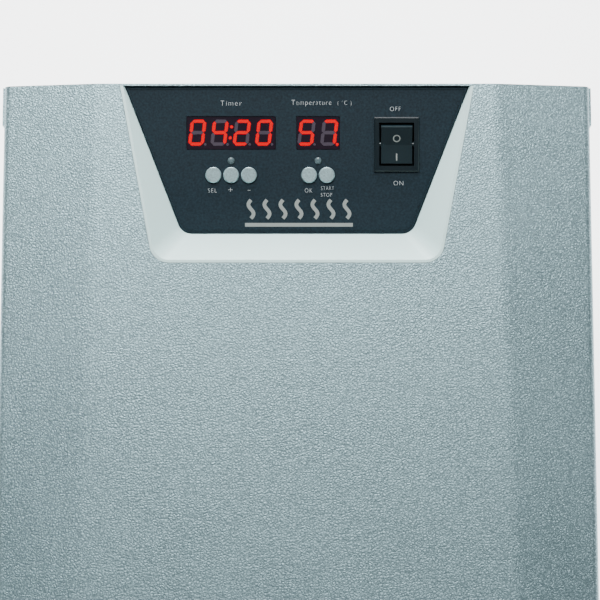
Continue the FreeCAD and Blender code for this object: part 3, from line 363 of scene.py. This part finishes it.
def display_face(name, node, text, pitch, shift, lit_points=(), colon=False):
    """Dark filter over a display module, its digits lit and unlit.

    lit_points are the places in the text whose decimal points are lit.
    """
    centre = on_panel_at(node)
    low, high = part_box(node)
    under = PANEL @ Matrix.Translation((centre.x, -DISPLAY_ROW, FILTER_TOP - FILTER_T))
    over = PANEL @ Matrix.Translation((centre.x, -DISPLAY_ROW, FILTER_TOP))
    half_w = (high.x - low.x) / 2 - FILTER_PLAY
    half_l = FILTER_LENGTH / 2
    plate = [(-half_w, -half_l), (half_w, -half_l), (half_w, half_l), (-half_w, half_l)]
    piece(name + "_filter", raised([plate], FILTER_T, under), LENS, "cabinet")
    lit, unlit = [], []
    for i, character in enumerate(text):
        x = pitch * (i + 0.5 - len(text) / 2) + shift
        for letter, outline in segment_outlines(x, DIGIT_RISE).items():
            (lit if letter in SEGMENTS[character] else unlit).append(outline)
        point_at = (x + DIGIT_HALF_W + POINT_R, POINT_RISE - DIGIT_HALF_H)
        if i in lit_points:
            lit.append(disc(*point_at, POINT_R))
        else:
            unlit.append(disc(*point_at, UNLIT_POINT_R))
    if colon:
        for y in COLON_HEIGHTS:
            lit.append(disc(DIGIT_LEAN * y + COLON_SHIFT, y, POINT_R))
    piece(name + "_lit_segments", raised(lit, INK_T, over), LIT, "cabinet")
    piece(name + "_unlit_segments", raised(unlit, INK_T, over), UNLIT, "cabinet")


display_face("timer", "timer_display", "0420", pitch=12.8 * MM, shift=-0.25 * MM, colon=True)
display_face("temperature", "temperature_display", "57", pitch=13.1 * MM, shift=-0.1 * MM, lit_points=(1,))


# ---------------------------------------------------------------- print on the panel

# Piece, words, node that they belong to, shift to its right, place down the panel from its rear edge,
# width, and height of a capital. All sizes are in millimetres.
LABELS = (
    ("label_timer", "Timer", "timer_display", 0.0, 9.8, 12.3, 3.0),
    ("label_temperature", "Temperature", "temperature_display", -3.8, 9.4, 22.9, 3.0),
    ("label_unit", "( °C )", "temperature_display", 15.2, 9.6, 7.9, 2.5),
    ("label_select", "SEL", "select_button", -0.6, 60.0, 5.1, 2.5),
    ("label_plus", "+", "plus_button", -0.4, 59.7, 2.6, 3.4),
    ("label_minus", "−", "minus_button", 0.1, 60.0, 1.6, 3.0),
    ("label_ok", "OK", "ok_button", -0.3, 60.0, 4.2, 2.5),
    ("label_start", "START", "start_button", 0.4, 58.7, 7.5, 2.2),
    ("label_stop", "STOP", "start_button", -0.2, 62.5, 6.3, 2.2),
    ("label_off", "OFF", "switch_housing", -0.7, 13.1, 6.2, 2.6),
    ("label_on", "ON", "switch_housing", 1.1, 55.8, 5.5, 2.6),
)
CAPITAL_SHARE = 0.70             # height of a capital, as a share of the font's size
LETTER_SPACING = 1.2
LETTER_THINNING = -0.03          # share of a capital's height

WAVES = 7
WAVE_PITCH = 9.2 * MM
WAVE_H = 10.6 * MM
WAVE_SWAY = 1.5 * MM
WAVE_RISE = 2.4 * MM
WAVE_STEPS = 16
WARM_AIR_LINE = 2.1 * MM
SHELF_LINE_HALF = 31 * MM
SHELF_LINE_DROP = 6.6 * MM
WARM_AIR_X = 1.2 * MM
WARM_AIR_ROW = 73 * MM


def label(name, text, x, row, width, cap):
    """Small printed word of a given width, centred at a place on the panel."""
    curve = bpy.data.curves.new(name, "FONT")
    curve.body = text
    curve.align_x = "CENTER"
    curve.align_y = "CENTER"
    curve.size = cap / CAPITAL_SHARE
    curve.space_character = LETTER_SPACING
    curve.extrude = INK_T / 2
    curve.offset = LETTER_THINNING * cap
    words = bpy.data.objects.new(name + "_curve", curve)
    bpy.context.scene.collection.objects.link(words)
    bpy.context.view_layer.update()
    mesh = bpy.data.meshes.new_from_object(words.evaluated_get(bpy.context.evaluated_depsgraph_get()))
    bpy.data.objects.remove(words)
    across = [v.co.x for v in mesh.vertices]
    mesh.transform(Matrix.Translation((-(min(across) + max(across)) / 2, 0, 0)))
    mesh.transform(Matrix.Scale(width / (max(across) - min(across)), 4, (1, 0, 0)))
    mesh.transform(PANEL @ Matrix.Translation((x, -row, INK_T / 2)))
    piece(name, mesh, INK, "cabinet")


def warm_air_mark():
    """Pictogram of warm air: rising waves over a shelf line."""
    outlines = []
    for i in range(WAVES):
        x = (i - (WAVES - 1) / 2) * WAVE_PITCH
        points = []
        for step in range(WAVE_STEPS + 1):
            share = step / WAVE_STEPS
            sway = WAVE_SWAY * math.sin(2 * math.pi * share)
            points.append((x + sway, WAVE_RISE + (share - 0.5) * WAVE_H))
        outlines.append(stroke(points, WARM_AIR_LINE))
    shelf = [(-SHELF_LINE_HALF, -SHELF_LINE_DROP), (SHELF_LINE_HALF, -SHELF_LINE_DROP)]
    outlines.append(stroke(shelf, WARM_AIR_LINE))
    place = PANEL @ Matrix.Translation((WARM_AIR_X, -WARM_AIR_ROW, 0))
    piece("warm_air_mark", raised(outlines, INK_T, place), MARK, "cabinet")


for name, words, node, shift, row, width, cap in LABELS:
    label(name, words, on_panel_at(node).x + shift * MM, row * MM, width * MM, cap * MM)
warm_air_mark()


# ---------------------------------------------------------------- marks on the rocker

ROCKER_R = 11.3 * MM
ROCKER_SWING = math.radians(10)
ROCKER_LIP = math.radians(22)
BAR_NEAR = 4.9 * MM
BAR_FAR = 8.9 * MM
BAR_W = 0.8 * MM
RING_AT = 3.9 * MM
RING_OUTER = 2.15 * MM
RING_INNER = 1.55 * MM
RING_STEPS = 32


def bar_mark(place):
    bar = stroke([(0, -BAR_NEAR), (0, -BAR_FAR)], BAR_W)
    piece("mark_on", raised([bar], INK_T, place), MARK, "rocker")


def ring_mark(place):
    mesh = bpy.data.meshes.new("ring")
    work = bmesh.new()
    rings = []
    for radius, z in ((RING_OUTER, 0), (RING_OUTER, INK_T), (RING_INNER, INK_T), (RING_INNER, 0)):
        circle = disc(0, RING_AT, radius, RING_STEPS)
        rings.append([work.verts.new(place @ Vector((x, y, z))) for x, y in circle])
    for i in range(len(rings)):
        a, b = rings[i], rings[(i + 1) % len(rings)]
        for j in range(RING_STEPS):
            k = (j + 1) % RING_STEPS
            work.faces.new((a[j], a[k], b[k], b[j]))
    bmesh.ops.recalc_face_normals(work, faces=work.faces)
    work.to_mesh(mesh)
    work.free()
    piece("mark_off", mesh, MARK, "rocker")


def rocker_marks():
    """A bar on the rocker's level front half and a ring on its raised rear half."""
    pivot = PANEL_BACK @ Vector(joints["power_switch"]["pos_m"])
    valley_depth = ROCKER_R * (math.sin(ROCKER_LIP) - math.cos(ROCKER_LIP) * math.tan(ROCKER_SWING))
    swung = PANEL @ Matrix.Translation(pivot) @ Matrix.Rotation(ROCKER_SWING, 4, "X")
    valley = swung @ Matrix.Translation((0, 0, valley_depth))
    bar_mark(valley @ Matrix.Rotation(-ROCKER_SWING, 4, "X"))
    ring_mark(valley @ Matrix.Rotation(ROCKER_SWING, 4, "X"))


rocker_marks()


# ---------------------------------------------------------------- shelves

WEAVE_WIRES = 36
WEAVE_R = 0.6 * MM
WEAVE_DROP = 2.0 * MM            # of the wires' tops below the shelf's own
WEAVE_INSET = 2.0 * MM
WEAVE_END = 8 * MM


def wire(work, start, end, radius, sides=8):
    along = end - start
    turn = along.to_track_quat("Z", "Y").to_matrix().to_4x4()
    place = Matrix.Translation((start + end) / 2) @ turn
    bmesh.ops.create_cone(work, cap_ends=True, segments=sides, radius1=radius, radius2=radius,
                          depth=along.length, matrix=place)


def shelf_weave(node, body):
    """Fine cross wires that turn the shelf's bars into a mesh."""
    low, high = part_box(node)
    z = high.z - WEAVE_DROP - WEAVE_R
    mesh = bpy.data.meshes.new(node + "_weave")
    work = bmesh.new()
    for i in range(WEAVE_WIRES):
        y = low.y + WEAVE_END + (high.y - low.y - 2 * WEAVE_END) * i / (WEAVE_WIRES - 1)
        wire(work, Vector((low.x + WEAVE_INSET, y, z)), Vector((high.x - WEAVE_INSET, y, z)), WEAVE_R)
    work.to_mesh(mesh)
    work.free()
    piece(node + "_weave", mesh, CHROME, body)


for level in ("lower", "middle", "upper"):
    shelf_weave("shelf_" + level, level + "_shelf")


# ---------------------------------------------------------------- studio

FLOOR_HALF = 6.0
FLOOR_GLOW = 3.4
WORLD_STRENGTH = 0.15
WHITE = (1, 1, 1, 1)

# Name, place, target, size and watts of each light
LIGHTS = (
    ("key", (-0.12, 0.85, 1.3), (0, 0.1, 0.3), 0.6, 20),
    ("rear", (-0.1, 1.5, 0.65), (0, 0.1, 0.3), 0.7, 30),
    ("fill", (0.9, -1.4, 1.3), (0, -0.1, 0.15), 1.6, 2.5),
    ("side", (-1.6, -0.6, 0.9), (0, -0.1, 0.15), 1.2, 2.5),
)

# The photograph's view: steeply down on the rear part of the top
AIM_X = 1.8 * MM
AIM_AHEAD = 124.5 * MM           # of the hood's rear edge
CAMERA_ELEVATION = math.radians(81.5)
CAMERA_AWAY = 1.25
CAMERA_LENS = 132.5
CAMERA_SENSOR = 36


def lit_floor():
    mesh = bpy.data.meshes.new("floor")
    h = FLOOR_HALF
    mesh.from_pydata([(-h, -h, 0), (h, -h, 0), (h, h, 0), (-h, h, 0)], [], [(0, 1, 2, 3)])
    floor = bpy.data.objects.new("floor", mesh)
    bpy.context.scene.collection.objects.link(floor)
    pale = surface("pale_floor", (0.93, 0.93, 0.93), rough=0.8, grain=4.0, relief=0.02, spread=0.01)
    bsdf = pale.node_tree.nodes["Principled BSDF"]
    bsdf.inputs["Emission Color"].default_value = WHITE
    bsdf.inputs["Emission Strength"].default_value = FLOOR_GLOW
    mesh.materials.append(pale)


def white_world():
    world = bpy.data.worlds.new("studio")
    bpy.context.scene.world = world
    world.use_nodes = True
    background = world.node_tree.nodes["Background"]
    background.inputs["Color"].default_value = WHITE
    background.inputs["Strength"].default_value = WORLD_STRENGTH


def area_light(name, place, target, size, watts):
    light = bpy.data.lights.new(name, "AREA")
    light.size = size
    light.energy = watts
    lamp = bpy.data.objects.new(name, light)
    lamp.location = place
    lamp.rotation_euler = (Vector(target) - Vector(place)).to_track_quat("-Z", "Y").to_euler()
    bpy.context.scene.collection.objects.link(lamp)


def camera():
    top_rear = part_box("hood")[1]
    aim = Vector((AIM_X, top_rear.y - AIM_AHEAD, top_rear.z))
    data = bpy.data.cameras.new("camera")
    data.lens = CAMERA_LENS
    data.sensor_width = CAMERA_SENSOR
    view = bpy.data.objects.new("camera", data)
    view.location = aim + Vector((0, -math.cos(CAMERA_ELEVATION), math.sin(CAMERA_ELEVATION))) * CAMERA_AWAY
    view.rotation_euler = (math.radians(90) - CAMERA_ELEVATION, 0, 0)
    bpy.context.scene.collection.objects.link(view)
    bpy.context.scene.camera = view


lit_floor()
white_world()
for name, place, target, size, watts in LIGHTS:
    area_light(name, place, target, size, watts)
camera()
